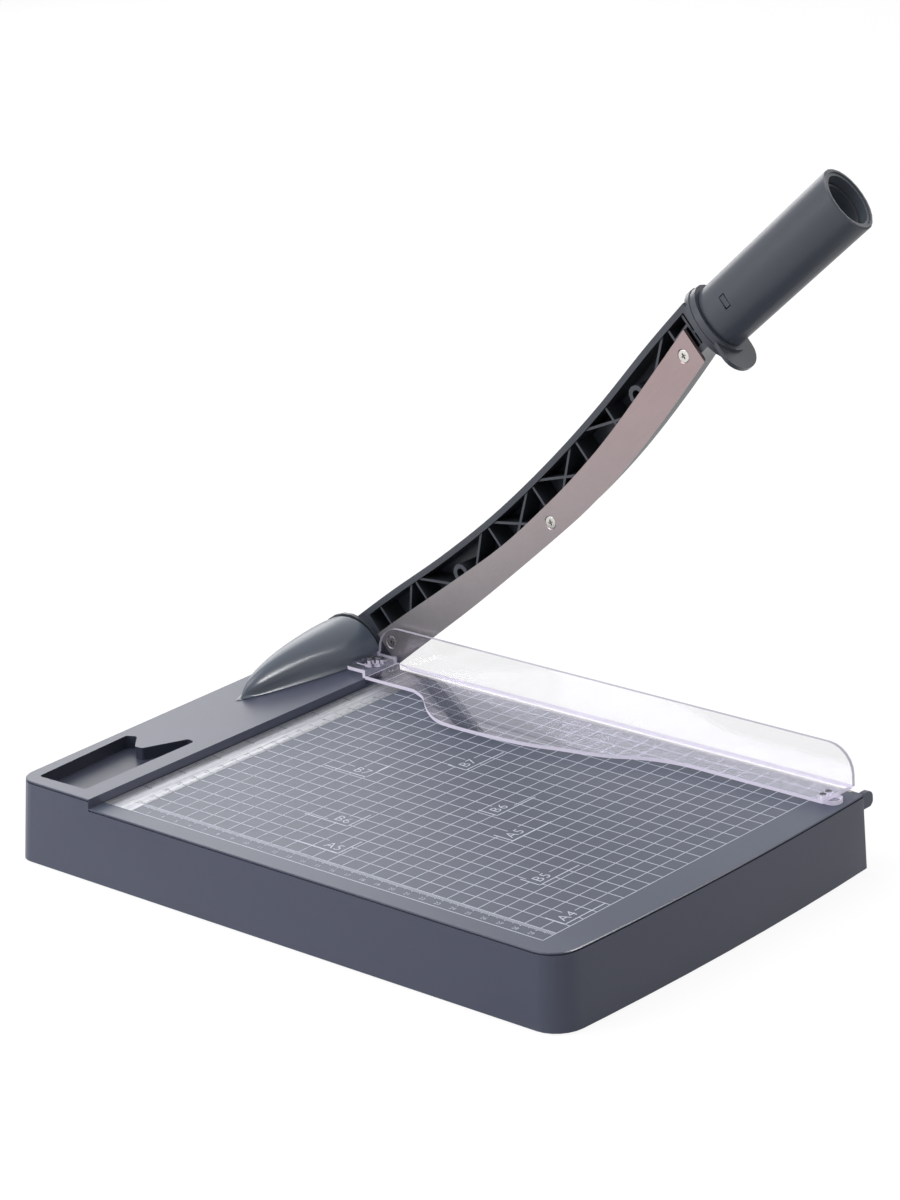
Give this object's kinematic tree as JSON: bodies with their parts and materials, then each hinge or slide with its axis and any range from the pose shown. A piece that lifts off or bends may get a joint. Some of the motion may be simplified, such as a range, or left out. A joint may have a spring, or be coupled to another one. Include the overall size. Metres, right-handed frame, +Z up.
{
  "type": "guillotine paper cutter",
  "caption": "Desk paper cutter: ruled bed with fence and tray, curved blade on a hinged lever arm with an oval handle, clear finger guard.",
  "frame": {"origin": "centre of the whole cutter's footprint with the arm raised, on the table", "axes": "+X across the bed to the cut edge, +Y from the user to the fence along the cut edge, +Z up"},
  "size_m": [0.2702, 0.3896, 0.3605],
  "materials": {
    "body_plastic": "satin moulded",
    "hood_plastic": "smooth satin",
    "arm_plastic": "satin moulded",
    "grip_plastic": "satin moulded",
    "blade_steel": "brushed",
    "screw_steel": "polished",
    "dark_steel": "blackened",
    "bronze": "sintered",
    "scale_metal": "satin anodised",
    "rubber": "matte",
    "clear_plastic": "clear polished"
  },
  "bodies": {
    "base": {"base_shell": "body_plastic", "bracket_bush": "bronze", "bracket_screw_1": "screw_steel", "bracket_screw_2": "screw_steel", "clear_guard": "clear_plastic", "fixed_knife": "blade_steel", "foot_front_left": "rubber", "foot_front_right": "rubber", "foot_rear_left": "rubber", "foot_rear_right": "rubber", "guard_pin_1": "dark_steel", "guard_pin_2": "dark_steel", "hood_screw_1": "screw_steel", "hood_screw_2": "screw_steel", "knife_screw_1": "screw_steel", "knife_screw_2": "screw_steel", "knife_screw_3": "screw_steel", "knife_screw_4": "screw_steel", "pivot_bracket": "dark_steel", "pivot_hood": "hood_plastic", "scale_strip": "scale_metal", "tab_screw_1": "screw_steel", "tab_screw_2": "screw_steel", "thrust_washer": "dark_steel"},
    "arm": {"blade_arm": "arm_plastic", "moving_blade": "blade_steel", "blade_screw_1": "screw_steel", "blade_screw_2": "screw_steel", "blade_screw_3": "screw_steel", "handle_grip": "grip_plastic", "hub_bush": "bronze", "pivot_bolt": "screw_steel", "head_washer": "dark_steel", "pivot_spring": "dark_steel", "spring_washer": "dark_steel", "lock_nut": "screw_steel", "hub_cap": "arm_plastic"}
  },
  "joints": [
    {"name": "arm_hinge", "type": "hinge", "parent": "base", "child": "arm", "pos_m": [0.10923, 0.16981, 0.0408], "axis": [1, 0, 0], "range_deg": [-24, 39.4]}
  ]
}
